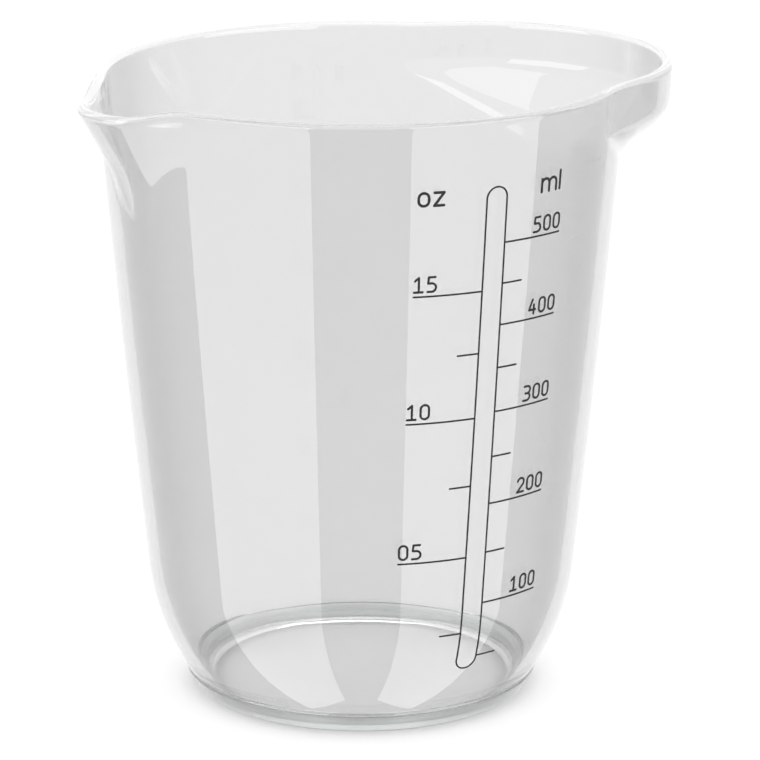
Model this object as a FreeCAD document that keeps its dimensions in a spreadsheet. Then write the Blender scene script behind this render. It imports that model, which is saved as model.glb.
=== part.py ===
import FreeCAD, Part
# A 500 ml measuring beaker: one clear moulding with a pouring spout, a thumb ledge and a printed scale.
# Millimetres. +Z is up and the axis of the cup stands on the centre of the foot, at the origin.
# The spout points along -X, the thumb ledge along +X, and the printed scale faces -Y.
import math
import os

import Sketcher

SIZES = {
    # the cup
    "height": 120.0,
    "rim_radius": 49.9,
    "wall": 2.2,
    "wall_curve": 3350.0,
    "corner_height": 24.0,
    "corner_radius": 41.0,
    "corner_curve": 46.0,
    "wall_foot_height": 3.5,
    "wall_foot_radius": 33.6,
    "foot_height": 3.3,
    "foot_radius": 33.9,
    "foot_base_radius": 31.9,
    "foot_round": 0.5,
    "floor_height": 1.5,
    "floor_radius": 29.4,
    "floor_round": 5.0,
    "inner_corner_curve": 43.8,
    "overcut": 3.0,
    # the thumb ledge, turned about an axis of its own
    "ledge_centre": 25.9,
    "ledge_radius": 36.9,
    "ledge_skirt": 6.4,
    "ledge_draft": 0.3,
    "ledge_bend_drop": 5.6,
    "ledge_bend_in": 3.5,
    "ledge_bend_curve": 7.0,
    "ledge_inner_bend_curve": 4.8,
    "ledge_inner_bend_shift": 1.6,
    "ledge_inner_bend_lift": 1.5,
    "ledge_run_drop": 16.0,
    "ledge_run_in": 19.8,
    "ledge_floor_lift": 2.0,
    "ledge_blend_round": 4.0,
    "ledge_inner_round": 3.0,
    # the spout, lofted from a wide nose at the rim to a narrow one at its root
    "spout_nose": 16.0,
    "spout_nose_x": 54.9,
    "spout_nose_y": 11.0,
    "spout_shoulder_x": 44.0,
    "spout_shoulder_y": 22.2,
    "spout_drop": 20.0,
    "spout_root_nose": 10.0,
    "spout_root_nose_x": 45.2,
    "spout_root_nose_y": 6.9,
    "spout_root_shoulder_x": 40.0,
    "spout_root_shoulder_y": 12.0,
    "spout_inset_x": 1.6,
    "spout_inset_y": 1.5,
    "spout_back": 30.0,
    "spout_blend_round": 5.0,
    "spout_inner_round": 4.0,
    "dip_depth": 1.9,
    "dip_lead": 0.3,
    "dip_half_depth": 0.8,
    "dip_flat": 8.0,
    "dip_middle": 14.5,
    "dip_half_width": 21.0,
    "dip_curve": 19.75,
    # the printed scale
    "ink": 0.08,
    "line_width": 0.32,
    "half_line": 0.16,
    "long_line": 13.35,
    "short_line": 4.35,
    "column_width": 4.2,
    "column_top": 107.3,
    "column_foot": 13.1,
    "number_height": 3.15,
    "number_stroke": 0.42,
    "legend_stroke": 0.5,
    "number_gap": 0.68,
    "digit_width": 1.98,
    "letter_gap": 0.5,
    "legend_level": 104.65,
    "legend_height": 2.9,
    "legend_tall": 3.9,
    "o_width": 2.4,
    "z_width": 2.3,
    "m_width": 4.2,
    "l_width": 0.5,
    "ml_inset": 0.4,
}
ML_NUMBERS = (100, 200, 300, 400, 500)
ML_TICKS = (50, 150, 250, 350, 450)
OUNCE_ML = 29.5735
MM3_PER_ML = 1000
OUNCE_NUMBERS = (5, 10, 15)
OUNCE_TICKS = (2.5, 7.5, 12.5)
SCALE_BEARING = -90.0
SCALE_HALF_SWEEP = 25.0
PRINT_REACH = 6.0


def circle_through(low, high, radius):
    """Centre of the circle through two (r, z) points that bulges outward."""
    half = math.dist(low, high) / 2
    rise = math.sqrt(radius ** 2 - half ** 2)
    along = ((high[0] - low[0]) / (2 * half), (high[1] - low[1]) / (2 * half))
    middle = ((low[0] + high[0]) / 2, (low[1] + high[1]) / 2)
    return middle[0] - along[1] * rise, middle[1] + along[0] * rise


WALL_FOOT = (SIZES["wall_foot_radius"], SIZES["wall_foot_height"])
CORNER = (SIZES["corner_radius"], SIZES["corner_height"])
RIM = (SIZES["rim_radius"], SIZES["height"])


def wall_radius(level, inset=0.0):
    """Radius of the cup's wall at a height above the foot: outside, or an inset further in."""
    if level < SIZES["corner_height"]:
        centre, radius = circle_through(WALL_FOOT, CORNER, SIZES["corner_curve"]), SIZES["corner_curve"]
    else:
        centre, radius = circle_through(CORNER, RIM, SIZES["wall_curve"]), SIZES["wall_curve"]
    return centre[0] + math.sqrt((radius - inset) ** 2 - (level - centre[1]) ** 2)


def inside_radius(level):
    """Radius of the hollow at a height, down through the round where the wall meets the floor."""
    centre = circle_through(WALL_FOOT, CORNER, SIZES["corner_curve"])
    curve = SIZES["corner_curve"] - SIZES["wall"]
    round_level = SIZES["floor_height"] + SIZES["floor_round"]
    fall = centre[1] - round_level
    round_radius = centre[0] + math.sqrt((curve - SIZES["floor_round"]) ** 2 - fall ** 2)
    meeting_level = centre[1] - curve * fall / (curve - SIZES["floor_round"])
    if level > meeting_level:
        return wall_radius(level, SIZES["wall"])
    return round_radius + math.sqrt(SIZES["floor_round"] ** 2 - (round_level - level) ** 2)


def level_of(millilitres):
    """Height at which the cup holds a volume."""
    step = 0.05
    level = SIZES["floor_height"]
    filled = 0.0
    while filled < millilitres * MM3_PER_ML:
        filled += math.pi * inside_radius(level + step / 2) ** 2 * step
        level += step
    return round(level, 2)


doc = FreeCAD.newDocument("Beaker")
sheet = doc.addObject("Spreadsheet::Sheet", "Sizes")
volumes = {f"ml_{mark:03d}": mark for mark in ML_NUMBERS + ML_TICKS}
volumes.update({f"oz_{int(mark * 10):03d}": mark * OUNCE_ML for mark in OUNCE_NUMBERS + OUNCE_TICKS})
for mark, volume in volumes.items():
    level = level_of(volume)
    SIZES[f"level_{mark}"] = level
    SIZES[f"low_radius_{mark}"] = round(wall_radius(level - SIZES["half_line"]), 4)
    SIZES[f"high_radius_{mark}"] = round(wall_radius(level + SIZES["half_line"]), 4)
for row, (alias, number) in enumerate(SIZES.items(), start=1):
    sheet.set(f"A{row}", str(number))
    sheet.setAlias(f"A{row}", alias)
doc.recompute()


def amount(sum_text):
    """Value of a sum of aliases and numbers, such as 'rim_radius - wall'."""
    total = 0.0
    sign = 1
    for word in sum_text.split():
        if word in ("+", "-"):
            sign = 1 if word == "+" else -1
        else:
            total += sign * (SIZES[word] if word in SIZES else float(word))
    return total


def bound(sum_text):
    """The same sum as an expression that reads the sheet."""
    words = [f"Sizes.{word}" if word in SIZES else word for word in sum_text.split()]
    return " ".join(words)


def new_body(name):
    body = doc.addObject("PartDesign::Body", name)
    body.Label = name
    return body


def origin_feature(body, role):
    return [f for f in body.Origin.OriginFeatures if f.Role == role][0]


def new_sketch(body, name, role, lift=None):
    sketch = body.newObject("Sketcher::SketchObject", name)
    sketch.AttachmentSupport = [(origin_feature(body, role), "")]
    sketch.MapMode = "FlatFace"
    if lift:
        sketch.AttachmentOffset = FreeCAD.Placement(FreeCAD.Vector(0, 0, amount(lift)), FreeCAD.Rotation())
        sketch.setExpression("AttachmentOffset.Base.z", bound(lift))
    return sketch


def arc_between(start, end, radius):
    """Arc that bulges to the right of the way from start to end."""
    chord = end - start
    side = FreeCAD.Vector(chord.y, -chord.x, 0).normalize()
    sagitta = radius - math.sqrt(radius ** 2 - (chord.Length / 2) ** 2)
    return Part.Arc(start, (start + end) / 2 + side * sagitta, end)


def outline(sketch, corners):
    """Closed outline. Each corner is (x, y, arc): sums of sheet values for x, y and the radius of an
    arc to the next corner, which bulges left where its text starts with '<' and right with '>'."""
    points = [FreeCAD.Vector(amount(x), amount(y), 0) for x, y, _ in corners]
    first_ends = []
    for index, (_, _, bend) in enumerate(corners):
        start = points[index]
        end = points[(index + 1) % len(points)]
        if not bend:
            edge = sketch.addGeometry(Part.LineSegment(start, end), False)
        elif bend.startswith(">"):
            edge = sketch.addGeometry(arc_between(start, end, amount(bend[1:])), False)
        else:
            edge = sketch.addGeometry(arc_between(end, start, amount(bend[1:])), False)
        first_ends.append((edge, 2 if bend and bend.startswith("<") else 1))
    for index, (x, y, bend) in enumerate(corners):
        edge, end = first_ends[index]
        before, before_first_end = first_ends[index - 1]
        sketch.addConstraint(Sketcher.Constraint("Coincident", before, 3 - before_first_end, edge, end))
        for kind, text, value in (("DistanceX", x, points[index].x), ("DistanceY", y, points[index].y)):
            number = sketch.addConstraint(Sketcher.Constraint(kind, -1, 1, edge, end, value))
            sketch.setExpression(f"Constraints[{number}]", bound(text))
        if bend:
            number = sketch.addConstraint(Sketcher.Constraint("Radius", edge, amount(bend[1:])))
            sketch.setExpression(f"Constraints[{number}]", bound(bend[1:]))


def turn(body, kind, name, sketch, axis="V_Axis"):
    feature = body.newObject(f"PartDesign::{kind}", name)
    feature.Profile = sketch
    feature.ReferenceAxis = (sketch, [axis])
    feature.Angle = 360
    return feature


def must_change(body, before, more):
    """Stop if the last feature of a body has not added or taken material."""
    doc.recompute()
    change = body.Shape.Volume - before
    if change * (1 if more else -1) <= 1.0:
        raise RuntimeError(f"{body.Tip.Label} changed the volume by {change:.2f}")
    return body.Shape.Volume


def axis_line(sketch, across):
    """A vertical construction line to turn about."""
    line = sketch.addGeometry(Part.LineSegment(FreeCAD.Vector(amount(across), 0, 0),
                                               FreeCAD.Vector(amount(across), 10, 0)), True)
    sketch.addConstraint(Sketcher.Constraint("Vertical", line))
    number = sketch.addConstraint(Sketcher.Constraint("DistanceX", -1, 1, line, 1, amount(across)))
    sketch.setExpression(f"Constraints[{number}]", bound(across))
    sketch.addConstraint(Sketcher.Constraint("DistanceY", line, 1, line, 2, 10))
    sketch.addConstraint(Sketcher.Constraint("DistanceY", -1, 1, line, 1, 0))


def loft_spout(body, kind, name, inset_x, inset_y, inset_nose, volume):
    """The spout's form between a nose outline at its root and a wider one at the rim."""
    sections = []
    for place, lift in (("spout_root", "height - spout_drop"), ("spout", "height")):
        sketch = new_sketch(body, f"{name}_{place}", "XY_Plane", lift)
        nose_x = f"0 - {place}_nose_x + {inset_x}"
        shoulder_x = f"0 - {place}_shoulder_x + {inset_x}"
        nose_y = f"{place}_nose_y - {inset_y}"
        shoulder_y = f"{place}_shoulder_y - {inset_y}"
        outline(sketch, [
            ("0 - spout_back", f"0 - {place}_shoulder_y + {inset_y}", None),
            (shoulder_x, f"0 - {place}_shoulder_y + {inset_y}", None),
            (nose_x, f"0 - {place}_nose_y + {inset_y}", f"<{place}_nose - {inset_nose}"),
            (nose_x, nose_y, None),
            (shoulder_x, shoulder_y, None),
            ("0 - spout_back", shoulder_y, None),
        ])
        sections.append(sketch)
    loft = body.newObject(f"PartDesign::{kind}", name)
    loft.Profile = sections[0]
    loft.Sections = sections[1:]
    loft.Ruled = True
    return must_change(body, volume, kind == "AdditiveLoft")


def middle_of(edge):
    low, high = edge.ParameterRange
    return edge.valueAt((low + high) / 2)


def round_edges(body, name, radius, wanted):
    """Fillet the edges whose middle point passes a test."""
    doc.recompute()
    numbers = [i for i, edge in enumerate(body.Shape.Edges, start=1) if wanted(middle_of(edge))]
    before = body.Shape.Volume
    rounded = body.Tip
    fillet = body.newObject("PartDesign::Fillet", name)
    fillet.Base = (rounded, [f"Edge{i}" for i in numbers])
    fillet.setExpression("Radius", bound(radius))
    doc.recompute()
    if not numbers or abs(body.Shape.Volume - before) < 1.0:
        raise RuntimeError(f"{name} rounded nothing")


def on_cup(point, inset):
    """True where a point lies on the cup's wall, above the root of the spout and the ledge."""
    radius = math.hypot(point.x, point.y)
    high = SIZES["height"] - SIZES["spout_drop"] - 2 < point.z < SIZES["height"] - 0.1
    return high and abs(radius - wall_radius(point.z) + inset) < 0.12


def cup_body():
    body = new_body("beaker_body")
    # the cup's outer form
    sketch = new_sketch(body, "cup_outside", "XZ_Plane")
    outline(sketch, [
        ("0", "0", None),
        ("foot_base_radius", "0", None),
        ("foot_radius", "foot_height", None),
        ("wall_foot_radius", "wall_foot_height", ">corner_curve"),
        ("corner_radius", "corner_height", ">wall_curve"),
        ("rim_radius", "height", None),
        ("0", "height", None),
    ])
    turn(body, "Revolution", "cup_form", sketch)
    volume = must_change(body, 0, True)
    # the thumb ledge's outer form
    sketch = new_sketch(body, "ledge_outside", "XZ_Plane")
    outline(sketch, [
        ("ledge_centre", "height", None),
        ("ledge_centre", "height - ledge_skirt - ledge_run_drop", None),
        ("ledge_centre + ledge_radius - ledge_draft - ledge_run_in",
         "height - ledge_skirt - ledge_run_drop", None),
        ("ledge_centre + ledge_radius - ledge_draft - ledge_bend_in",
         "height - ledge_skirt - ledge_bend_drop", ">ledge_bend_curve"),
        ("ledge_centre + ledge_radius - ledge_draft", "height - ledge_skirt", None),
        ("ledge_centre + ledge_radius", "height", None),
    ])
    axis_line(sketch, "ledge_centre")
    turn(body, "Revolution", "ledge_form", sketch, "Axis0")
    volume = must_change(body, volume, True)
    # the spout's outer form
    volume = loft_spout(body, "AdditiveLoft", "spout_form", "0", "0", "0", volume)
    # the hollow
    sketch = new_sketch(body, "cup_inside", "XZ_Plane")
    outline(sketch, [
        ("0", "floor_height", None),
        ("floor_radius", "floor_height", ">inner_corner_curve"),
        ("corner_radius - wall", "corner_height", ">wall_curve"),
        ("rim_radius - wall", "height", None),
        ("rim_radius - wall", "height + overcut", None),
        ("0", "height + overcut", None),
    ])
    turn(body, "Groove", "cup_hollow", sketch)
    volume = must_change(body, volume, False)
    sketch = new_sketch(body, "ledge_inside", "XZ_Plane")
    outline(sketch, [
        ("ledge_centre", "height + overcut", None),
        ("ledge_centre", "height - ledge_skirt - ledge_run_drop + ledge_floor_lift", None),
        ("ledge_centre + ledge_radius - ledge_draft - ledge_run_in",
         "height - ledge_skirt - ledge_run_drop + ledge_floor_lift", None),
        ("ledge_centre + ledge_radius - ledge_draft - ledge_bend_in - ledge_inner_bend_shift",
         "height - ledge_skirt - ledge_bend_drop + ledge_inner_bend_lift", ">ledge_inner_bend_curve"),
        ("ledge_centre + ledge_radius - ledge_draft - wall", "height - ledge_skirt", None),
        ("ledge_centre + ledge_radius - wall", "height + overcut", None),
    ])
    axis_line(sketch, "ledge_centre")
    turn(body, "Groove", "ledge_hollow", sketch, "Axis0")
    volume = must_change(body, volume, False)
    volume = loft_spout(body, "SubtractiveLoft", "spout_hollow",
                        "spout_inset_x", "spout_inset_y", "wall", volume)
    # the lip dips along the spout
    sketch = new_sketch(body, "lip_dip", "YZ_Plane")
    outline(sketch, [
        ("0 - dip_half_width", "height + dip_lead", "<dip_curve"),
        ("0 - dip_middle", "height - dip_half_depth", ">dip_curve"),
        ("0 - dip_flat", "height - dip_depth", None),
        ("dip_flat", "height - dip_depth", ">dip_curve"),
        ("dip_middle", "height - dip_half_depth", "<dip_curve"),
        ("dip_half_width", "height + dip_lead", None),
        ("dip_half_width", "height + overcut", None),
        ("0 - dip_half_width", "height + overcut", None),
    ])
    dip = body.newObject("PartDesign::Pocket", "spout_dip")
    dip.Profile = sketch
    dip.Type = "ThroughAll"
    volume = must_change(body, volume, False)
    wall = SIZES["wall"]
    round_edges(body, "floor_corner", "floor_round",
                lambda p: abs(p.z - SIZES["floor_height"]) < 0.01 and math.hypot(p.x, p.y) > 1)
    round_edges(body, "foot_edge", "foot_round",
                lambda p: abs(p.z) < 0.01 and math.hypot(p.x, p.y) > 1)
    round_edges(body, "ledge_blend", "ledge_blend_round", lambda p: p.x > 20 and on_cup(p, 0))
    round_edges(body, "spout_blend", "spout_blend_round", lambda p: p.x < -20 and on_cup(p, 0))
    round_edges(body, "ledge_inner_blend", "ledge_inner_round", lambda p: p.x > 20 and on_cup(p, wall))
    round_edges(body, "spout_inner_blend", "spout_inner_round", lambda p: p.x < -20 and on_cup(p, wall))
    return body


def printed_line(name, mark, length, side):
    """A straight scale mark that lies on the wall. It starts at the column's edge and runs to the
    right of the column (side 1) or to its left (side -1)."""
    body = new_body(name)
    sketch = new_sketch(body, f"{name}_section", "XZ_Plane")
    outline(sketch, [
        (f"low_radius_{mark}", f"level_{mark} - half_line", None),
        (f"low_radius_{mark} + ink", f"level_{mark} - half_line", None),
        (f"high_radius_{mark} + ink", f"level_{mark} + half_line", None),
        (f"high_radius_{mark}", f"level_{mark} + half_line", None),
    ])
    band = turn(body, "Revolution", f"{name}_band", sketch)
    band.Midplane = True
    band.setExpression("Angle", f"Sizes.{length} / Sizes.low_radius_{mark} * 180 deg / pi")
    radius = SIZES[f"low_radius_{mark}"]
    reach = SIZES["column_width"] / 2 + SIZES[length] / 2
    turn_to = SCALE_BEARING + side * math.degrees(reach / radius)
    body.Placement = FreeCAD.Placement(FreeCAD.Vector(), FreeCAD.Rotation(FreeCAD.Vector(0, 0, 1), turn_to))
    return body


def stroke_line(start, end):
    return ("line", start, end)


def stroke_arc(centre, radius, first, last):
    return ("arc", centre, radius, first, last)


def glyph(letter, width, height):
    """Centre lines of a character's strokes, in a box from (0, 0) to (width, height)."""
    half = width / 2
    quarter = height / 4
    if letter in "0o":
        return [
            stroke_line((0, half), (0, height - half)),
            stroke_line((width, half), (width, height - half)),
            stroke_arc((half, height - half), half, 0, 180),
            stroke_arc((half, half), half, 180, 360),
        ]
    if letter == "1":
        return [
            stroke_line((0.1 * width, 0.78 * height), (0.55 * width, height)),
            stroke_line((0.55 * width, height), (0.55 * width, 0)),
            stroke_line((0, 0), (width, 0)),
        ]
    if letter == "2":
        end = -38
        foot = (half + half * math.cos(math.radians(end)), height - half + half * math.sin(math.radians(end)))
        return [
            stroke_arc((half, height - half), half, end, 165),
            stroke_line(foot, (0, 0)),
            stroke_line((0, 0), (width, 0)),
        ]
    if letter == "3":
        return [
            stroke_line((0.08 * width, height), (width - quarter, height)),
            stroke_arc((width - quarter, height - quarter), quarter, -90, 90),
            stroke_line((0.3 * width, 2 * quarter), (width - quarter, 2 * quarter)),
            stroke_arc((width - quarter, quarter), quarter, -90, 90),
            stroke_line((width - quarter, 0), (0, 0)),
        ]
    if letter == "4":
        return [
            stroke_line((0.5 * width, height), (0, 0.28 * height)),
            stroke_line((0, 0.28 * height), (width, 0.28 * height)),
            stroke_line((0.74 * width, 0.62 * height), (0.74 * width, 0)),
        ]
    if letter == "5":
        belly = 0.29 * height
        return [
            stroke_line((0.9 * width, height), (0.12 * width, height)),
            stroke_line((0.12 * width, height), (0.06 * width, 2 * belly)),
            stroke_line((0.06 * width, 2 * belly), (width - belly, 2 * belly)),
            stroke_arc((width - belly, belly), belly, -90, 90),
            stroke_line((width - belly, 0), (0, 0)),
        ]
    if letter == "z":
        return [
            stroke_line((0, height), (width, height)),
            stroke_line((width, height), (0, 0)),
            stroke_line((0, 0), (width, 0)),
        ]
    if letter == "m":
        arch = width / 4
        return [
            stroke_line((0, 0), (0, height)),
            stroke_arc((arch, height - arch), arch, 0, 180),
            stroke_line((half, 0), (half, height - arch)),
            stroke_arc((3 * arch, height - arch), arch, 0, 180),
            stroke_line((width, 0), (width, height - arch)),
        ]
    return [stroke_line((0, 0), (0, height))]


def stroke_solid(stroke, width, depth):
    """A stroke with round ends, from z = 0 to z = depth."""
    up = FreeCAD.Vector(0, 0, 1)
    if stroke[0] == "line":
        start = FreeCAD.Vector(*stroke[1], 0)
        end = FreeCAD.Vector(*stroke[2], 0)
        run = end - start
        bar = Part.makeBox(run.Length, width, depth, FreeCAD.Vector(0, -width / 2, 0))
        bar.Placement = FreeCAD.Placement(start, FreeCAD.Rotation(FreeCAD.Vector(1, 0, 0), run))
        ends = (start, end)
    else:
        _, centre, radius, first, last = stroke
        middle = FreeCAD.Vector(*centre, 0)
        bar = Part.makeCylinder(radius + width / 2, depth, middle, up, last - first)
        bar = bar.cut(Part.makeCylinder(radius - width / 2, depth, middle, up))
        bar.rotate(middle, up, first)
        ends = [middle + FreeCAD.Rotation(up, turned).multVec(FreeCAD.Vector(radius, 0, 0))
                for turned in (first, last)]
    return bar.multiFuse([Part.makeCylinder(width / 2, depth, end, up) for end in ends])


def ink_skin(levels):
    """The thin layer of ink on the wall between levels, as bands of a cone."""
    inner = [FreeCAD.Vector(wall_radius(level), 0, level) for level in levels]
    outer = [point + FreeCAD.Vector(SIZES["ink"], 0, 0) for point in reversed(inner)]
    face = Part.Face(Part.makePolygon(inner + outer + inner[:1]))
    axis = FreeCAD.Vector(0, 0, 1)
    skin = face.revolve(FreeCAD.Vector(), axis, 2 * SCALE_HALF_SWEEP)
    skin.rotate(FreeCAD.Vector(), axis, SCALE_BEARING - SCALE_HALF_SWEEP)
    return skin


def laid_on_wall(strokes, width, across, level, levels):
    """Strokes laid on the wall, with their own origin at an arc length across and a level up it."""
    radius = wall_radius(level)
    bearing = math.radians(SCALE_BEARING) + across / radius
    out = FreeCAD.Vector(math.cos(bearing), math.sin(bearing), 0)
    right = FreeCAD.Vector(-math.sin(bearing), math.cos(bearing), 0)
    up = FreeCAD.Vector(0, 0, 1)
    depth = 2 * (wall_radius(levels[-1]) - radius + PRINT_REACH)
    solids = [stroke_solid(stroke, width, depth) for stroke in strokes]
    shape = solids[0].multiFuse(solids[1:]) if len(solids) > 1 else solids[0]
    start = out * (radius - depth / 2) + up * level
    shape.Placement = FreeCAD.Placement(start, FreeCAD.Rotation(right, up, out, "XYZ"))
    printed = shape.common(ink_skin(levels)).removeSplitter()
    expected = shape.Volume / depth * SIZES["ink"]
    if abs(printed.Volume / expected - 1) > 0.05:
        raise RuntimeError("a printed shape came out incomplete")
    return printed.Solids


def printed_text(name, text, stroke, left, level, widths, heights):
    """A word or number printed on the wall, one character at a time, from its left edge."""
    solids = []
    across = left
    for letter, width in zip(text, widths):
        box_width = width - stroke
        strokes = [shifted(item, -box_width / 2) for item in glyph(letter, box_width, heights[letter] - stroke)]
        levels = (level - stroke, level + heights[letter] + stroke)
        solids += laid_on_wall(strokes, stroke, across + width / 2, level + stroke / 2, levels)
        across += width + SIZES["letter_gap"]
    return printed_shape(name, solids)


def shifted(stroke, across):
    if stroke[0] == "line":
        return ("line", *[(x + across, y) for x, y in stroke[1:]])
    return ("arc", (stroke[1][0] + across, stroke[1][1]), *stroke[2:])


def printed_shape(name, solids):
    feature = doc.addObject("Part::Feature", name)
    feature.Label = name
    feature.Shape = solids[0] if len(solids) == 1 else Part.makeCompound(solids)
    feature.Placement = FreeCAD.Placement()
    return feature


def scale_column():
    """The tall outlined column between the two scales."""
    half = SIZES["column_width"] / 2
    low = SIZES["column_foot"]
    tall = SIZES["column_top"] - low
    strokes = [
        stroke_line((-half, half), (-half, tall - half)),
        stroke_line((half, half), (half, tall - half)),
        stroke_arc((0, tall - half), half, 0, 180),
        stroke_arc((0, half), half, 180, 360),
    ]
    corner_levels = [low - 1 + 2 * step for step in range(7)]
    levels = corner_levels + [45, 70, 95, SIZES["column_top"] + 1]
    return printed_shape("scale_column_outline", laid_on_wall(strokes, SIZES["line_width"], 0, low, levels))


def printed_scale():
    pieces = [scale_column()]
    edge = SIZES["column_width"] / 2 + SIZES["long_line"]
    digit = SIZES["digit_width"]
    digits = dict.fromkeys("012345", SIZES["number_height"])
    for number in ML_NUMBERS:
        mark = f"ml_{number:03d}"
        left = edge - 3 * digit - 2 * SIZES["letter_gap"]
        pieces.append(printed_line(f"ml_line_{number:03d}", mark, "long_line", 1))
        pieces.append(printed_text(f"ml_number_{number:03d}", str(number), SIZES["number_stroke"], left,
                                   SIZES[f"level_{mark}"] + SIZES["number_gap"], [digit] * 3, digits))
    for number in ML_TICKS:
        mark = f"ml_{number:03d}"
        pieces.append(printed_line(f"ml_tick_{number:03d}", mark, "short_line", 1))
    for number in OUNCE_NUMBERS:
        mark = f"oz_{number * 10:03d}"
        pieces.append(printed_line(f"oz_line_{number:02d}", mark, "long_line", -1))
        pieces.append(printed_text(f"oz_number_{number:02d}", f"{number:02d}", SIZES["number_stroke"], -edge,
                                   SIZES[f"level_{mark}"] + SIZES["number_gap"], [digit] * 2, digits))
    for number in OUNCE_TICKS:
        mark = f"oz_{int(number * 10):03d}"
        pieces.append(printed_line(f"oz_tick_{mark[3:]}", mark, "short_line", -1))
    legends = dict.fromkeys("ozm", SIZES["legend_height"])
    legends["l"] = SIZES["legend_tall"]
    word = {letter: SIZES[f"{letter}_width"] for letter in "ozml"}
    pieces.append(printed_text("oz_legend", "oz", SIZES["legend_stroke"], -edge, SIZES["legend_level"],
                               [word[letter] for letter in "oz"], legends))
    ml_width = word["m"] + SIZES["letter_gap"] + word["l"]
    ml_left = edge - SIZES["ml_inset"] - ml_width
    pieces.append(printed_text("ml_legend", "ml", SIZES["legend_stroke"], ml_left, SIZES["legend_level"],
                               [word[letter] for letter in "ml"], legends))
    return pieces


def check_and_write(pieces):
    """Stop on any failed object or shape, then write one STEP file for each piece."""
    doc.recompute()
    for item in doc.Objects:
        if "Invalid" in item.State or "Error" in item.State:
            raise RuntimeError(f"{item.Name} is {item.State}")
    for piece in pieces:
        if piece.Shape.isNull() or not piece.Shape.isValid() or piece.Shape.Volume <= 0:
            raise RuntimeError(f"{piece.Label} has no valid shape")
    os.makedirs("parts", exist_ok=True)
    for piece in pieces:
        piece.Shape.exportStep(f"parts/{piece.Label}.step")


cup = cup_body()
pieces = [cup] + printed_scale()
check_and_write(pieces)
print(len(pieces), "nodes, cup", round(cup.Shape.Volume / 1000, 2), "ml of plastic")
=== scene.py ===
"""The look of a clear plastic measuring beaker: its moulding, its printed scale, and a white studio."""
import math

import bpy
import numpy as np
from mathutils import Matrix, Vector


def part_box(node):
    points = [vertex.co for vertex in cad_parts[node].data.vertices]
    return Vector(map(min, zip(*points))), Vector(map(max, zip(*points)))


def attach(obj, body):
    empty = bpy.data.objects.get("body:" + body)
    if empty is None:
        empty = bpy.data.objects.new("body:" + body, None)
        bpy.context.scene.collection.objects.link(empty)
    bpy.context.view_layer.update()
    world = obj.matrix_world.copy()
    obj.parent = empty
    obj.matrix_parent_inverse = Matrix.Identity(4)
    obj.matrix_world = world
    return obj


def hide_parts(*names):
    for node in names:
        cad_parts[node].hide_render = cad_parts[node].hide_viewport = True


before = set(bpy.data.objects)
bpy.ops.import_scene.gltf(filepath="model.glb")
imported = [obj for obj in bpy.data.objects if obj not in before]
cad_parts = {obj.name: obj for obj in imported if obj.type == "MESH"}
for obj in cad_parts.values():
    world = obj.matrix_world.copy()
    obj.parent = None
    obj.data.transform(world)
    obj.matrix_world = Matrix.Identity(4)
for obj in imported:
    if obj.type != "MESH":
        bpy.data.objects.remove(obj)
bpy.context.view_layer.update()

MM = 0.001

# ---------------------------------------------------------------- driving sizes, in metres, from the frame
low_corner, high_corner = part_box("beaker_body")
HEIGHT = high_corner.z
RIM_RADIUS = high_corner.y
LEDGE_REACH = high_corner.x
SPOUT_REACH = -low_corner.x

WALL = 2.2 * MM
CORNER_HEIGHT = 24.0 * MM
CORNER_RADIUS = 41.0 * MM
CORNER_CURVE = 46.0 * MM
WALL_CURVE = 3350.0 * MM
WALL_FOOT = (33.6 * MM, 3.5 * MM)
FOOT_TOP = (33.9 * MM, 3.3 * MM)
FOOT_TOP_ROUND = 0.3 * MM
FOOT_BASE_RADIUS = 31.9 * MM
FOOT_BASE_ROUND = 0.5 * MM
FLOOR_HEIGHT = 1.5 * MM
FLOOR_ROUND = 5.0 * MM

LEDGE_CENTRE = 25.9 * MM
LEDGE_RADIUS = LEDGE_REACH - LEDGE_CENTRE
LEDGE_DRAFT = 0.05
LEDGE_CONE_RADIUS = 33.4 * MM
LEDGE_CONE_LEVEL = 108.0 * MM
LEDGE_CONE_SLOPE = 1.23
LEDGE_BEND = 3.0 * MM
LEDGE_INNER_BEND = 1.4 * MM
LEDGE_BLEND = 3.2 * MM

SPOUT_RIM_NOSE = 16.0 * MM
SPOUT_ROOT_NOSE = 10.0 * MM
SPOUT_RIM_CENTRE = 43.3 * MM
SPOUT_ROOT_CENTRE = 37.96 * MM
SPOUT_ROOT_LEVEL = 100.0 * MM
SPOUT_FLANK = math.radians(44.2)
SPOUT_RIM_BLEND = 2.6 * MM
SPOUT_ROOT_BLEND = 3.5 * MM
DIP_DEPTH = 1.9 * MM
DIP_FLAT = 8.0 * MM
DIP_HALF_WIDTH = 20.5 * MM

NOSE_INSET = 1.1
SPOUT_HALF_ANGLE = 1.2

COLUMNS = 480
DISC_RINGS = 8
CORNER_RINGS = 22
INNER_CORNER_RINGS = 14
FLOOR_ROUND_RINGS = 14
LOWER_WALL_RINGS = 30
UPPER_WALL_RINGS = 44
UPPER_WALL_LEVEL = 96.0 * MM
LIP_STEPS = 10
ROUND_STEPS = 5


def circle_through(low, high, radius):
    """Centre of the circle through two (r, z) points that bulges outward."""
    half = math.dist(low, high) / 2
    rise = math.sqrt(radius ** 2 - half ** 2)
    along = ((high[0] - low[0]) / (2 * half), (high[1] - low[1]) / (2 * half))
    middle = ((low[0] + high[0]) / 2, (low[1] + high[1]) / 2)
    return middle[0] - along[1] * rise, middle[1] + along[0] * rise


CORNER_AXIS = circle_through(WALL_FOOT, (CORNER_RADIUS, CORNER_HEIGHT), CORNER_CURVE)
WALL_AXIS = circle_through((CORNER_RADIUS, CORNER_HEIGHT), (RIM_RADIUS, HEIGHT), WALL_CURVE)


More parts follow.
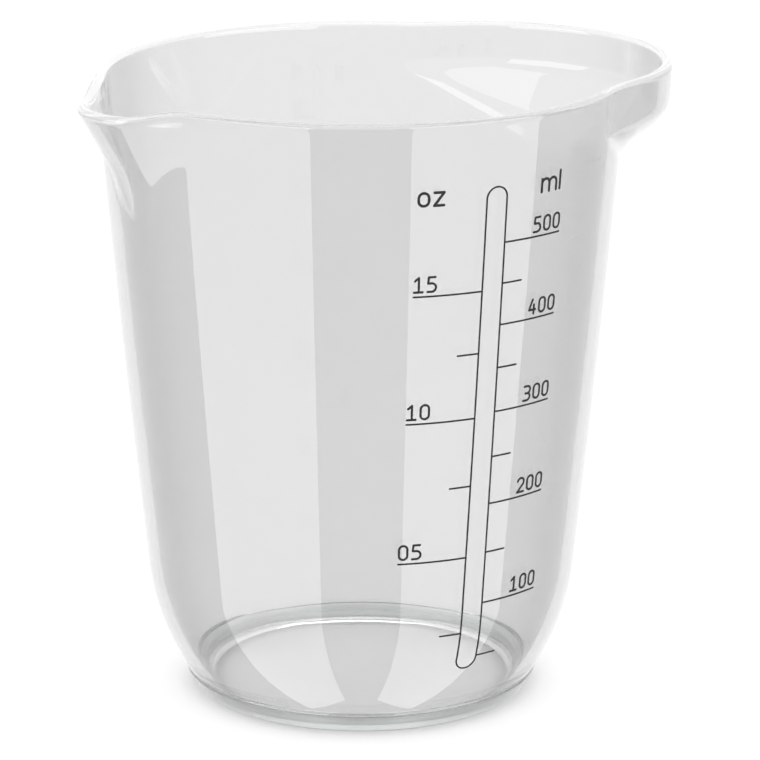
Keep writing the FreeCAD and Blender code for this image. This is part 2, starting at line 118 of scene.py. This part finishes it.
def cup_radius(z, inset=0.0):
    """Radius of the plain cup at a height, a wall thickness further in for its inside."""
    corner = CORNER_AXIS[0] + np.sqrt(np.maximum((CORNER_CURVE - inset) ** 2 - (z - CORNER_AXIS[1]) ** 2, 0))
    wall = WALL_AXIS[0] + np.sqrt((WALL_CURVE - inset) ** 2 - (z - WALL_AXIS[1]) ** 2)
    return np.where(z < CORNER_HEIGHT, corner, wall)


def smooth_max(a, b, width):
    """The larger of two values, with the change from one to the other blended over a width."""
    h = np.clip(0.5 + 0.5 * (a - b) / width, 0, 1)
    return b + (a - b) * h + width * h * (1 - h)


def smooth_min(a, b, width):
    """The smaller of two values, blended in the same way."""
    return -smooth_max(-a, -b, width)


def ledge_radius(angle, z, inset):
    """Reach of the thumb ledge from the cup's axis: a skirt over a sloping underside, about its own
    centre."""
    skirt = LEDGE_RADIUS - LEDGE_DRAFT * (HEIGHT - z) - inset
    slant = math.hypot(1, LEDGE_CONE_SLOPE)
    cone = LEDGE_CONE_RADIUS + LEDGE_CONE_SLOPE * (z - LEDGE_CONE_LEVEL) - inset * slant
    own = np.maximum(smooth_min(skirt, cone, LEDGE_INNER_BEND if inset else LEDGE_BEND), 0)
    across = LEDGE_CENTRE * np.sin(angle)
    reach = LEDGE_CENTRE * np.cos(angle) + np.sqrt(np.maximum(own ** 2 - across ** 2, 0))
    return np.where(np.cos(angle) > 0, reach, 0)


def spout_radius(angle, z, inset):
    """Reach of the spout: a round nose with straight flanks that meet it tangentially."""
    up = (z - SPOUT_ROOT_LEVEL) / (HEIGHT - SPOUT_ROOT_LEVEL)
    centre = SPOUT_ROOT_CENTRE + (SPOUT_RIM_CENTRE - SPOUT_ROOT_CENTRE) * up
    nose = SPOUT_ROOT_NOSE + (SPOUT_RIM_NOSE - SPOUT_ROOT_NOSE) * up - NOSE_INSET * inset
    away = np.abs(np.arctan2(np.sin(angle), -np.cos(angle)))
    turn = np.arctan2(nose * math.sin(SPOUT_FLANK), centre + nose * math.cos(SPOUT_FLANK))
    across = centre * np.sin(away)
    round_part = centre * np.cos(away) + np.sqrt(np.maximum(nose ** 2 - across ** 2, 0))
    lean = SPOUT_FLANK - away
    flank_part = centre * math.cos(SPOUT_FLANK) + nose
    flank_part = flank_part * np.where(lean > 0, 1 / np.cos(lean), np.cos(2 * lean))
    reach = np.where(away < turn, round_part, flank_part)
    return np.where((away < SPOUT_HALF_ANGLE) & (nose > 0), reach, 0)


def beaker_radius(angle, z, inset=0.0):
    """Radius of the whole beaker: the cup, with the ledge and the spout blended into it."""
    radius = cup_radius(z, inset)
    radius = smooth_max(radius, ledge_radius(angle, z, inset), LEDGE_BLEND)
    up = np.clip((z - SPOUT_ROOT_LEVEL) / (HEIGHT - SPOUT_ROOT_LEVEL), 0, 1)
    blend = SPOUT_ROOT_BLEND + (SPOUT_RIM_BLEND - SPOUT_ROOT_BLEND) * up
    return smooth_max(radius, spout_radius(angle, z, inset), blend)


def lip_level(angle):
    """Height of the lip, which dips along the spout."""
    half_width = np.abs(SPOUT_REACH * np.sin(angle))
    ramp = np.clip((DIP_HALF_WIDTH - half_width) / (DIP_HALF_WIDTH - DIP_FLAT), 0, 1)
    ramp = ramp * ramp * (3 - 2 * ramp)
    return HEIGHT - np.where(np.cos(angle) < 0, DIP_DEPTH * ramp, 0)


def wall_rows():
    """Heights of the mesh's rows from the top of the corner to the rim, closer near the top."""
    lower = np.linspace(CORNER_HEIGHT, UPPER_WALL_LEVEL, LOWER_WALL_RINGS)
    upper = np.linspace(UPPER_WALL_LEVEL, HEIGHT, UPPER_WALL_RINGS)
    return np.concatenate([lower, upper[1:]])


def rounded(before, corner, after, radius):
    """Points of the arc that rounds a profile's corner between two straight sides."""
    corner = Vector(corner)
    back = (Vector(before) - corner).normalized()
    on = (Vector(after) - corner).normalized()
    half = back.angle(on) / 2
    centre = corner + (back + on).normalized() * radius / math.sin(half)
    first = corner + back * radius / math.tan(half) - centre
    last = corner + on * radius / math.tan(half) - centre
    sweep = first.angle(last)
    points = []
    for step in range(ROUND_STEPS + 1):
        part = step / ROUND_STEPS
        mix = (first * math.sin((1 - part) * sweep) + last * math.sin(part * sweep)) / math.sin(sweep)
        points.append(tuple(centre + mix))
    return points


def shell_rings():
    """Rings of points from the middle of the underside, out and up the wall, over the lip and down
    to the middle of the floor."""
    angle = np.linspace(0, 2 * math.pi, COLUMNS, endpoint=False)
    rings = []

    def ring(radius, level):
        radius = radius + 0 * angle
        level = level + 0 * angle
        rings.append(np.stack([radius * np.cos(angle), radius * np.sin(angle), level], axis=1))

    under = FOOT_BASE_RADIUS - 2 * FOOT_BASE_ROUND
    for radius in np.linspace(under / DISC_RINGS, under, DISC_RINGS):
        ring(radius, 0.0)
    for radius, level in rounded((under, 0.0), (FOOT_BASE_RADIUS, 0.0), FOOT_TOP, FOOT_BASE_ROUND):
        ring(radius, level)
    for radius, level in rounded((FOOT_BASE_RADIUS, 0.0), FOOT_TOP, WALL_FOOT, FOOT_TOP_ROUND):
        ring(radius, level)
    for level in np.linspace(WALL_FOOT[1], CORNER_HEIGHT, CORNER_RINGS)[:-1]:
        ring(cup_radius(level), level)
    top = lip_level(angle)
    shoulder = top - (beaker_radius(angle, top) - beaker_radius(angle, top, WALL)) / 2
    squeeze = (shoulder - UPPER_WALL_LEVEL) / (HEIGHT - UPPER_WALL_LEVEL)
    rows = [np.where(level > UPPER_WALL_LEVEL, UPPER_WALL_LEVEL + (level - UPPER_WALL_LEVEL) * squeeze, level)
            for level in wall_rows()]
    for place in rows:
        ring(beaker_radius(angle, place), place)
    outer = beaker_radius(angle, shoulder)
    inner = beaker_radius(angle, shoulder, WALL)
    middle = (outer + inner) / 2
    half = (outer - inner) / 2
    for step in range(1, LIP_STEPS):
        turn = math.pi * step / LIP_STEPS
        ring(middle + half * math.cos(turn), shoulder + half * math.sin(turn))
    for place in rows[::-1]:
        ring(beaker_radius(angle, place, WALL), place)
    # the inner corner runs down into a round that meets the floor
    round_centre_z = FLOOR_HEIGHT + FLOOR_ROUND
    gap = CORNER_CURVE - WALL - FLOOR_ROUND
    round_centre_r = CORNER_AXIS[0] + math.sqrt(gap ** 2 - (CORNER_AXIS[1] - round_centre_z) ** 2)
    drop = math.atan2(CORNER_AXIS[1] - round_centre_z, round_centre_r - CORNER_AXIS[0])
    meet = CORNER_AXIS[1] - (CORNER_CURVE - WALL) * math.sin(drop)
    for level in np.linspace(CORNER_HEIGHT, meet, INNER_CORNER_RINGS)[1:]:
        ring(cup_radius(level, WALL), level)
    for turn in np.linspace(drop, math.pi / 2, FLOOR_ROUND_RINGS)[1:]:
        ring(round_centre_r + FLOOR_ROUND * math.cos(turn), round_centre_z - FLOOR_ROUND * math.sin(turn))
    for radius in np.linspace(round_centre_r, round_centre_r / DISC_RINGS, DISC_RINGS)[1:]:
        ring(radius, FLOOR_HEIGHT)
    return rings


def mesh_object(name, points, faces):
    """A smooth-shaded mesh object in the scene."""
    mesh = bpy.data.meshes.new(name)
    mesh.from_pydata([tuple(p) for p in points], [], faces)
    mesh.validate()
    mesh.shade_smooth()
    piece = bpy.data.objects.new(name, mesh)
    bpy.context.scene.collection.objects.link(piece)
    return piece


def beaker_shell():
    """The moulding as one closed mesh: quads between the rings, and a fan at each end."""
    rings = shell_rings()
    points = np.concatenate(rings)
    faces = []
    for row in range(len(rings) - 1):
        low = row * COLUMNS
        high = low + COLUMNS
        for column in range(COLUMNS):
            after = (column + 1) % COLUMNS
            faces.append((low + column, low + after, high + after, high + column))
    under = len(points)
    floor = under + 1
    points = np.concatenate([points, [[0, 0, 0], [0, 0, FLOOR_HEIGHT]]])
    last = (len(rings) - 1) * COLUMNS
    for column in range(COLUMNS):
        after = (column + 1) % COLUMNS
        faces.append((under, after, column))
        faces.append((floor, last + column, last + after))
    return mesh_object("beaker_shell", points, faces)


# ---------------------------------------------------------------- materials
PLASTIC_IOR = 1.5
TINT_HUE = (0.998, 1.0, 0.999)
SLANT_TINTS = ((0.08, 0.785), (0.32, 0.74), (0.4, 0.715), (0.48, 0.665), (0.6, 0.57), (0.68, 0.56),
               (0.8, 0.6), (0.93, 0.56), (1.0, 0.42))
LEVEL_TINT = 0.8
LEVEL_SURFACE = ((0.6, 0.0), (0.9, 1.0))
# painted shade: the dark grey of the foot band; the foot's frosting below is real
FOOT_PAINTED_SHADE = (0.52, 0.55, 0.54)
FROSTED_RADIUS = 30.5 * MM
FROSTED_ROUGHNESS = 0.3
# painted shade: size, height and grey of the darker tint on the inner round above the floor
SHADED_ROUND_RADIUS = 31.2 * MM
SHADED_ROUND_LEVEL = 1.7 * MM
INNER_ROUND_PAINTED_SHADE = (0.62, 0.63, 0.625)
# painted highlight: the upward-facing top of the lip is tinted pure white
LIP_HIGHLIGHT_ZONE = 117.0 * MM
LIP_HIGHLIGHT_SURFACE = ((0.28, 0.0), (0.42, 1.0))
LIP_PAINTED_HIGHLIGHT = (1.0, 1.0, 1.0)
SHADE_SCALE = 20.0
# painted contact shadow: lamp light through the plastic is dimmed near the foot's edge
CONTACT_SHADOW_TINTS = ((0.02, 0.55), (0.12, 1.0))
# painted shade: much-mirrored light is darkened near the bottom, which darkens the foot band
TRAPPED_FOOT_SHADE_TINTS = ((0.06, 0.45), (0.2, 0.9))
DEEPEST_BOUNCE = 4.5
INK_ROUGHNESS = 0.7
INK_SPECULAR = 0.15
INK_GRAIN = 900.0
INK_COLOURS = ((0.012, 0.012, 0.013), (0.03, 0.03, 0.032))


def new_material(name):
    """A node material, with its tree and its Principled shader."""
    material = bpy.data.materials.new(name)
    material.use_nodes = True
    tree = material.node_tree
    return material, tree, tree.nodes["Principled BSDF"]


def clear_plastic():
    """Glossy clear plastic whose tint deepens with the slant of the light through it. The foot is finely
    frosted.
    The foot and the round above the floor are darkened with painted shade, the lip's top is whitened with a
    painted highlight, and level surfaces have their own tint."""
    material, tree, shader = new_material("clear_plastic")
    shader.inputs["Transmission Weight"].default_value = 1.0
    shader.inputs["IOR"].default_value = PLASTIC_IOR
    coordinates = tree.nodes.new("ShaderNodeTexCoord")
    split = tree.nodes.new("ShaderNodeSeparateXYZ")
    tree.links.new(coordinates.outputs["Object"], split.inputs[0])
    x, y, z = split.outputs
    radius = maths(tree, "SQRT", sum_of_squares(tree, x, y))
    surface = tree.nodes.new("ShaderNodeNewGeometry")
    normal = tree.nodes.new("ShaderNodeSeparateXYZ")
    tree.links.new(surface.outputs["Normal"], normal.inputs[0])
    upright = maths(tree, "ABSOLUTE", normal.outputs["Z"])

    facing = tree.nodes.new("ShaderNodeLayerWeight")
    facing.inputs["Blend"].default_value = 0.5
    slant_tint = grey_ramp(tree, facing.outputs["Facing"], SLANT_TINTS, TINT_HUE)
    level = grey_ramp(tree, upright, LEVEL_SURFACE)
    level_tint = mixed_colour(tree, level, slant_tint, [LEVEL_TINT * part for part in TINT_HUE])
    # painted shade: the inner round above the floor gets a darker tint, which tones down the bright arc that
    # light makes there
    ring = maths(tree, "MULTIPLY", maths(tree, "LESS_THAN", radius, SHADED_ROUND_RADIUS),
                 maths(tree, "GREATER_THAN", z, SHADED_ROUND_LEVEL))
    round_shade_tint = mixed_colour(tree, ring, level_tint, INNER_ROUND_PAINTED_SHADE)
    # painted highlight: upward-facing surfaces at the lip get a white tint, which shows as a bright line
    # along the rim
    lip = maths(tree, "MULTIPLY", grey_ramp(tree, upright, LIP_HIGHLIGHT_SURFACE),
                maths(tree, "GREATER_THAN", z, LIP_HIGHLIGHT_ZONE))
    lip_highlight_tint = mixed_colour(tree, lip, round_shade_tint, LIP_PAINTED_HIGHLIGHT)
    # the foot ring gets painted shade, a darker tint, as well as its real frosted roughness
    foot = maths(tree, "MULTIPLY", maths(tree, "LESS_THAN", z, WALL_FOOT[1]),
                 maths(tree, "GREATER_THAN", radius, FROSTED_RADIUS))
    tree.links.new(mixed_colour(tree, foot, lip_highlight_tint, FOOT_PAINTED_SHADE), shader.inputs["Base Color"])
    tree.links.new(maths(tree, "MULTIPLY", foot, FROSTED_ROUGHNESS), shader.inputs["Roughness"])
    let_light_through(tree, shader, radius, z)
    return material


def mixed_colour(tree, share, first, second):
    """A Mix node from one colour to another. Each colour is a socket or plain numbers."""
    node = tree.nodes.new("ShaderNodeMix")
    node.data_type = "RGBA"
    tree.links.new(share, node.inputs["Factor"])
    for socket, value in ((node.inputs[6], first), (node.inputs[7], second)):
        if isinstance(value, bpy.types.NodeSocket):
            tree.links.new(value, socket)
        else:
            socket.default_value = (*value, 1)
    return node.outputs[2]


def grey_ramp(tree, source, stops, hue=(1, 1, 1)):
    """A ramp from places to grey levels, all of one faint hue."""
    ramp = tree.nodes.new("ShaderNodeValToRGB")
    elements = ramp.color_ramp.elements
    while len(elements) < len(stops):
        elements.new(1.0)
    for element, (place, level) in zip(elements, stops):
        element.position = place
        element.color = (level * hue[0], level * hue[1], level * hue[2], 1)
    tree.links.new(source, ramp.inputs["Fac"])
    return ramp.outputs["Color"]


def maths(tree, operation, first, second=0.0):
    """One Math node. Each input is a socket or a plain number."""
    node = tree.nodes.new("ShaderNodeMath")
    node.operation = operation
    for socket, value in zip(node.inputs, (first, second)):
        if isinstance(value, (int, float)):
            socket.default_value = value
        else:
            tree.links.new(value, socket)
    return node.outputs[0]


def sum_of_squares(tree, first, second):
    return maths(tree, "ADD", maths(tree, "MULTIPLY", first, first), maths(tree, "MULTIPLY", second, second))


def mixed_shader(tree, share, first, second):
    """A Mix Shader node's output, from one shader's output to another's."""
    mix = tree.nodes.new("ShaderNodeMixShader")
    for socket, source in zip(mix.inputs, (share, first, second)):
        tree.links.new(source, socket)
    return mix.outputs[0]


def transparent(tree, colour):
    """A shader that light crosses unbent, taking a colour from a socket."""
    node = tree.nodes.new("ShaderNodeBsdfTransparent")
    tree.links.new(colour, node.inputs["Color"])
    return node.outputs[0]


def let_light_through(tree, shader, radius, z):
    """Lamp light and much-mirrored light cross the plastic unbent. Lamp light is dimmed close to the foot's
    edge, a painted contact shadow, and much-mirrored light is dimmed low down, painted shade on the foot.
    """
    # painted contact shadow: lamp and diffuse rays through the plastic are darkened by their distance from
    # the foot's edge
    from_edge = maths(tree, "SUBTRACT", radius, FOOT_BASE_RADIUS)
    distance = maths(tree, "MULTIPLY", maths(tree, "SQRT", sum_of_squares(tree, from_edge, z)), SHADE_SCALE)
    lamp = transparent(tree, grey_ramp(tree, distance, CONTACT_SHADOW_TINTS))
    # painted shade: much-mirrored rays are darkened near the bottom of the beaker
    height = maths(tree, "MULTIPLY", z, SHADE_SCALE)
    trapped = transparent(tree, grey_ramp(tree, height, TRAPPED_FOOT_SHADE_TINTS, TINT_HUE))
    path = tree.nodes.new("ShaderNodeLightPath")
    lamp_ray = maths(tree, "MAXIMUM", path.outputs["Is Shadow Ray"], path.outputs["Is Diffuse Ray"])
    trapped_ray = maths(tree, "GREATER_THAN", path.outputs["Ray Depth"], DEEPEST_BOUNCE)
    inner = mixed_shader(tree, trapped_ray, shader.outputs[0], trapped)
    outer = mixed_shader(tree, lamp_ray, inner, lamp)
    tree.links.new(outer, tree.nodes["Material Output"].inputs["Surface"])


def scale_ink():
    """Matt charcoal ink, a little uneven in its density."""
    material, tree, shader = new_material("scale_ink")
    shader.inputs["Roughness"].default_value = INK_ROUGHNESS
    shader.inputs["Specular IOR Level"].default_value = INK_SPECULAR
    noise = tree.nodes.new("ShaderNodeTexNoise")
    noise.inputs["Scale"].default_value = INK_GRAIN
    ramp = tree.nodes.new("ShaderNodeValToRGB")
    for element, colour in zip(ramp.color_ramp.elements, INK_COLOURS):
        element.color = (*colour, 1)
    coordinates = tree.nodes.new("ShaderNodeTexCoord")
    tree.links.new(coordinates.outputs["Object"], noise.inputs["Vector"])
    tree.links.new(noise.outputs["Fac"], ramp.inputs["Fac"])
    tree.links.new(ramp.outputs["Color"], shader.inputs["Base Color"])
    return material


PLASTIC = clear_plastic()
INK = scale_ink()

shell = beaker_shell()
shell.data.materials.append(PLASTIC)
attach(shell, "root")
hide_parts("beaker_body")
for name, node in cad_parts.items():
    if name != "beaker_body":
        node.material_slots[0].material = INK

# ---------------------------------------------------------------- studio
FLOOR_SIZE = 6.0
FLOOR_LEVEL = -0.2 * MM
FLOOR_WHITE = 0.9
FLOOR_ROUGHNESS = 0.9
FIRST_BOUNCE = 1.5


def studio_floor():
    """A matt white floor, hidden from the rays that the object's surface has just mirrored."""
    corners = [(x * FLOOR_SIZE / 2, y * FLOOR_SIZE / 2, 0) for x, y in ((-1, -1), (1, -1), (1, 1), (-1, 1))]
    floor = mesh_object("studio_floor", corners, [(0, 1, 2, 3)])
    floor.location.z = FLOOR_LEVEL
    material, tree, shader = new_material("floor_white")
    shader.inputs["Base Color"].default_value = (FLOOR_WHITE, FLOOR_WHITE, FLOOR_WHITE, 1)
    shader.inputs["Roughness"].default_value = FLOOR_ROUGHNESS
    floor.data.materials.append(material)
    open_to = tree.nodes.new("ShaderNodeBsdfTransparent")
    mix = mixed_shader(tree, first_reflection(tree), shader.outputs[0], open_to.outputs[0])
    tree.links.new(mix, tree.nodes["Material Output"].inputs["Surface"])


def first_reflection(tree):
    """A socket that is 1 for rays that the object's surface has just mirrored, and 0 for all others."""
    path = tree.nodes.new("ShaderNodeLightPath")
    early = maths(tree, "LESS_THAN", path.outputs["Ray Depth"], FIRST_BOUNCE)
    return maths(tree, "MULTIPLY", path.outputs["Is Glossy Ray"], early)


def soft_light(name, place, target, width, height, radiance):
    """A rectangular softbox that shows in the gloss only. The white surroundings light all the rest."""
    light = bpy.data.lights.new(name, "AREA")
    light.shape = "RECTANGLE"
    light.size = width
    light.size_y = height
    light.energy = radiance * math.pi * width * height
    lamp = bpy.data.objects.new(name, light)
    lamp.location = place
    lamp.rotation_euler = (Vector(target) - Vector(place)).to_track_quat("-Z", "Y").to_euler()
    lamp.visible_diffuse = False
    lamp.visible_transmission = False
    bpy.context.scene.collection.objects.link(lamp)


def side_softboxes():
    """Two tall softboxes either side of the camera, reaching below the table's level."""
    for name, side in (("softbox_left", -1), ("softbox_right", 1)):
        bearing = CAMERA_BEARING + side * BOX_BEARING
        place = (math.sin(bearing) * BOX_DISTANCE, -math.cos(bearing) * BOX_DISTANCE, BOX_LEVEL)
        soft_light(name, place, (0, 0, BOX_LEVEL), BOX_WIDTH, BOX_HEIGHT, BOX_GLOW)


def world_light():
    """Even white surroundings. Gloss mirrors them dimly in front, so that the softboxes stand out, and
    brightly behind the beaker, which lights up its lip."""
    world = bpy.data.worlds.new("studio")
    world.use_nodes = True
    tree = world.node_tree
    dim = tree.nodes["Background"]
    direction = tree.nodes.new("ShaderNodeTexCoord")
    behind = tree.nodes.new("ShaderNodeVectorMath")
    behind.operation = "DOT_PRODUCT"
    behind.inputs[1].default_value = (-math.sin(CAMERA_BEARING), math.cos(CAMERA_BEARING), 0)
    tree.links.new(direction.outputs["Generated"], behind.inputs[0])
    tree.links.new(grey_ramp(tree, behind.outputs["Value"], WORLD_MIRRORED), dim.inputs["Color"])
    bright = tree.nodes.new("ShaderNodeBackground")
    bright.inputs["Color"].default_value = (WORLD_BRIGHT, WORLD_BRIGHT, WORLD_BRIGHT, 1)
    mix = mixed_shader(tree, first_reflection(tree), bright.outputs[0], dim.outputs[0])
    tree.links.new(mix, tree.nodes["World Output"].inputs["Surface"])
    bpy.context.scene.world = world


CAMERA_BEARING = math.radians(-30)
BOX_BEARING = math.radians(50.8)
BOX_DISTANCE = 0.5
BOX_LEVEL = -0.65
BOX_WIDTH = 0.57
BOX_HEIGHT = 2.5
BOX_GLOW = 2.6
TOP_LEVEL = 1.4
TOP_SIZE = 0.8
TOP_GLOW = 1.5
WORLD_MIRRORED = ((0.1, 0.15), (0.7, 1.0))
WORLD_BRIGHT = 1.14

studio_floor()
world_light()
side_softboxes()
soft_light("top_light", (0, 0, TOP_LEVEL), (0, 0, 0), TOP_SIZE, TOP_SIZE, TOP_GLOW)

# ---------------------------------------------------------------- camera
CAMERA_PITCH = 15.707
CAMERA_DISTANCE = 0.7686
CAMERA_HEIGHT = 0.2757
SENSOR_WIDTH = 36.0
LENS = 197.63526
SHIFT_X = 0.025
CLIP_END = 20.0


def camera():
    """The scene's camera: a long lens, looking a little down at the printed scale's side."""
    data = bpy.data.cameras.new("camera")
    data.sensor_width = SENSOR_WIDTH
    data.lens = LENS
    data.clip_end = CLIP_END
    data.shift_x = SHIFT_X
    view = bpy.data.objects.new("camera", data)
    view.location = (math.sin(CAMERA_BEARING) * CAMERA_DISTANCE,
                     -math.cos(CAMERA_BEARING) * CAMERA_DISTANCE, CAMERA_HEIGHT)
    view.rotation_euler = (math.radians(90 - CAMERA_PITCH), 0, CAMERA_BEARING)
    bpy.context.scene.collection.objects.link(view)
    bpy.context.scene.camera = view


camera()
bpy.context.scene.view_settings.view_transform = "Standard"
